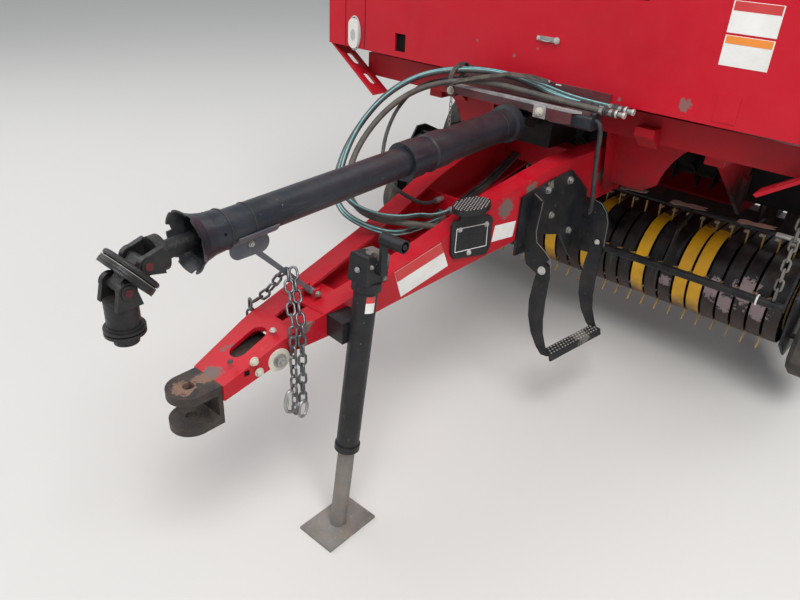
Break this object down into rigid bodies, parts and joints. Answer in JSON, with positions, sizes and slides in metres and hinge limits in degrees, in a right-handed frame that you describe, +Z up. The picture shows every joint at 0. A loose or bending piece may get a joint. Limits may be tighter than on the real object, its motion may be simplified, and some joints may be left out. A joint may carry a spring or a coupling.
{
  "type": "round baler",
  "caption": "Towed round baler with drawbar, driveline, pickup reel, hollow bale chamber and hinged tailgate; wheels, reel, doors, jack and step move.",
  "frame": {"origin": "ground under the middle of the machine's length and width, at the height of the wheels' foot", "axes": "+Z up; -Y forward to the towing end; +X to the machine's left"},
  "size_m": [2.48, 4.2952, 2.79],
  "materials": {
    "red_paint": "gloss red paint, worn and dirty",
    "black_paint": "black paint, worn",
    "dark_grey_paint": "dark grey paint",
    "yellow_paint": "yellow paint",
    "rim_paint": "pale rim paint",
    "zinc": "zinc plated and dull",
    "rusty_steel": "rusty brown steel",
    "spring_steel": "spring steel",
    "chrome_rod": "chromed rod",
    "black_plastic": "black plastic",
    "lamp_plastic": "reflector plastic",
    "rear_lamp_plastic": "red lamp plastic",
    "hose_rubber": "black hose rubber",
    "pad_rubber": "black rubber block",
    "tyre_rubber": "tyre rubber"
  },
  "bodies": {
    "rotor": {"feed_rotor": "black_paint"},
    "frame": {"feed_plates": "black_paint", "tray_block": "pad_rubber", "cable_plug": "black_plastic", "hose_4": "hose_rubber", "main_frame": "red_paint", "drawbar": "red_paint", "hitch_nose": "red_paint", "hitch_clevis": "rusty_steel", "jack_tube": "black_paint", "step_bracket": "black_paint", "tread_plate": "black_paint", "safety_chain": "zinc", "gearbox": "dark_grey_paint", "hose_tray": "red_paint", "hose_1": "hose_rubber", "hose_2": "hose_rubber", "hose_3": "hose_rubber", "hose_couplers": "zinc", "front_shield": "red_paint", "lower_shields": "red_paint", "chamber_walls": "red_paint", "chamber_roof": "red_paint", "front_reflectors": "lamp_plastic"},
    "wheel_left": {"tyre_left": "tyre_rubber", "rim_left": "rim_paint"},
    "wheel_right": {"tyre_right": "tyre_rubber", "rim_right": "rim_paint"},
    "tailgate": {"tailgate_frame": "red_paint", "tailgate_skin": "red_paint", "tailgate_shields": "red_paint", "rear_lamps": "rear_lamp_plastic", "net_box": "red_paint"},
    "net_lid": {"net_lid": "red_paint"},
    "side_door_left": {"side_door_left": "red_paint"},
    "side_door_right": {"side_door_right": "red_paint"},
    "barrel_left": {"cylinder_barrel_left": "black_paint"},
    "barrel_right": {"cylinder_barrel_right": "black_paint"},
    "rod_left": {"cylinder_rod_left": "chrome_rod"},
    "rod_right": {"cylinder_rod_right": "chrome_rod"},
    "pickup": {"pickup_frame": "black_paint", "stripper_bands": "black_paint", "yellow_bands": "yellow_paint"},
    "reel": {"tine_reel": "spring_steel"},
    "windguard": {"windguard": "black_paint", "windguard_chain": "zinc"},
    "gauge_left": {"gauge_wheel_left": "tyre_rubber"},
    "gauge_right": {"gauge_wheel_right": "tyre_rubber"},
    "jack_leg": {"jack_leg": "zinc"},
    "jack_crank": {"jack_crank": "zinc"},
    "folding_step": {"folding_step": "black_paint"},
    "pto_rest": {"pto_rest": "dark_grey_paint"},
    "pto_rear": {"pto_guard_rear": "black_plastic"},
    "pto_front": {"pto_guard_front": "black_plastic"},
    "cv_inner": {"cv_inner_yoke": "rusty_steel"},
    "cv_centre": {"cv_centre": "rusty_steel"},
    "cv_outer": {"cv_outer_yoke": "rusty_steel"}
  },
  "joints": [
    {"name": "wheel_spin_left", "type": "hinge", "parent": "frame", "child": "wheel_left", "pos_m": [1.01, 1.1, 0.475], "axis": [1, 0, 0], "continuous": true},
    {"name": "wheel_spin_right", "type": "hinge", "parent": "frame", "child": "wheel_right", "pos_m": [-1.01, 1.1, 0.475], "axis": [1, 0, 0], "continuous": true},
    {"name": "tailgate_hinge", "type": "hinge", "parent": "frame", "child": "tailgate", "pos_m": [0, 0.72, 2.72], "axis": [1, 0, 0], "range_deg": [0, 58]},
    {"name": "net_lid_hinge", "type": "hinge", "parent": "tailgate", "child": "net_lid", "pos_m": [0, 2.0296, 1.4883], "axis": [1, 0, 0], "range_deg": [0, 100]},
    {"name": "side_door_left_hinge", "type": "hinge", "parent": "frame", "child": "side_door_left", "pos_m": [0.6303, 0, 2.56], "axis": [0, -1, 0], "range_deg": [0, 80]},
    {"name": "side_door_right_hinge", "type": "hinge", "parent": "frame", "child": "side_door_right", "pos_m": [-0.6303, 0, 2.56], "axis": [0, 1, 0], "range_deg": [0, 80]},
    {"name": "cylinder_swing_left", "type": "hinge", "parent": "frame", "child": "barrel_left", "pos_m": [0.672, 0.4, 1.19], "axis": [1, 0, 0], "range_deg": [-4, 1]},
    {"name": "cylinder_stroke_left", "type": "slide", "parent": "barrel_left", "child": "rod_left", "axis": [0, 0.3688, 0.9295], "range_m": [0, 0.33]},
    {"name": "cylinder_swing_right", "type": "hinge", "parent": "frame", "child": "barrel_right", "pos_m": [-0.672, 0.4, 1.19], "axis": [1, 0, 0], "range_deg": [-4, 1]},
    {"name": "cylinder_stroke_right", "type": "slide", "parent": "barrel_right", "child": "rod_right", "axis": [0, 0.3688, 0.9295], "range_m": [0, 0.33]},
    {"name": "pickup_lift", "type": "hinge", "parent": "frame", "child": "pickup", "pos_m": [0, 0.66, 0.6], "axis": [1, 0, 0], "range_deg": [0, 18]},
    {"name": "rotor_spin", "type": "hinge", "parent": "frame", "child": "rotor", "pos_m": [0, 0.545, 0.87], "axis": [1, 0, 0], "continuous": true},
    {"name": "reel_spin", "type": "hinge", "parent": "pickup", "child": "reel", "pos_m": [0, 0.3, 0.45], "axis": [1, 0, 0], "continuous": true},
    {"name": "windguard_swing", "type": "hinge", "parent": "pickup", "child": "windguard", "pos_m": [0, 0.25, 0.725], "axis": [-1, 0, 0], "range_deg": [0, 35]},
    {"name": "gauge_spin_left", "type": "hinge", "parent": "pickup", "child": "gauge_left", "pos_m": [1.117, 0.23, 0.33], "axis": [1, 0, 0], "continuous": true},
    {"name": "gauge_spin_right", "type": "hinge", "parent": "pickup", "child": "gauge_right", "pos_m": [-1.117, 0.23, 0.33], "axis": [1, 0, 0], "continuous": true},
    {"name": "jack_raise", "type": "slide", "parent": "frame", "child": "jack_leg", "axis": [0, 0.1219, 0.9925], "range_m": [0, 0.28]},
    {"name": "jack_crank_turn", "type": "hinge", "parent": "frame", "child": "jack_crank", "pos_m": [0.208, -1.46939, 0.92711], "axis": [1, 0, 0], "continuous": true},
    {"name": "step_fold", "type": "hinge", "parent": "frame", "child": "folding_step", "pos_m": [0.305, -0.62, 0.655], "axis": [-0.0663, -0.9952, 0.0715], "range_deg": [0, 95]},
    {"name": "rest_swing", "type": "hinge", "parent": "frame", "child": "pto_rest", "pos_m": [0, -1.5, 0.775], "axis": [1, 0, 0], "range_deg": [0, 30]},
    {"name": "driveline_lift", "type": "hinge", "parent": "frame", "child": "pto_rear", "pos_m": [0, -0.43, 1.126], "axis": [-1, 0, 0], "range_deg": [0, 12]},
    {"name": "driveline_telescope", "type": "slide", "parent": "pto_rear", "child": "pto_front", "axis": [0, -0.9991, -0.0419], "range_m": [0, 0.2]},
    {"name": "driveline_spin", "type": "hinge", "parent": "pto_front", "child": "cv_inner", "pos_m": [0, -2.03959, 1.05854], "axis": [0, -0.9991, -0.0419], "continuous": true},
    {"name": "cv_inner_bend", "type": "hinge", "parent": "cv_inner", "child": "cv_centre", "pos_m": [0, -2.03959, 1.05854], "axis": [-1, 0, 0], "range_deg": [0, 35]},
    {"name": "cv_outer_bend", "type": "hinge", "parent": "cv_centre", "child": "cv_outer", "pos_m": [0, -2.09759, 1.01054], "axis": [-1, 0, 0], "range_deg": [0, 60]}
  ],
  "couplings": [
    {"joint": "cylinder_swing_left", "follows": "tailgate_hinge", "ratio": -0.01839},
    {"joint": "cylinder_stroke_left", "follows": "tailgate_hinge", "m_per_rad": 0.30959},
    {"joint": "cylinder_swing_right", "follows": "tailgate_hinge", "ratio": -0.01839},
    {"joint": "cylinder_stroke_right", "follows": "tailgate_hinge", "m_per_rad": 0.30959}
  ]
}
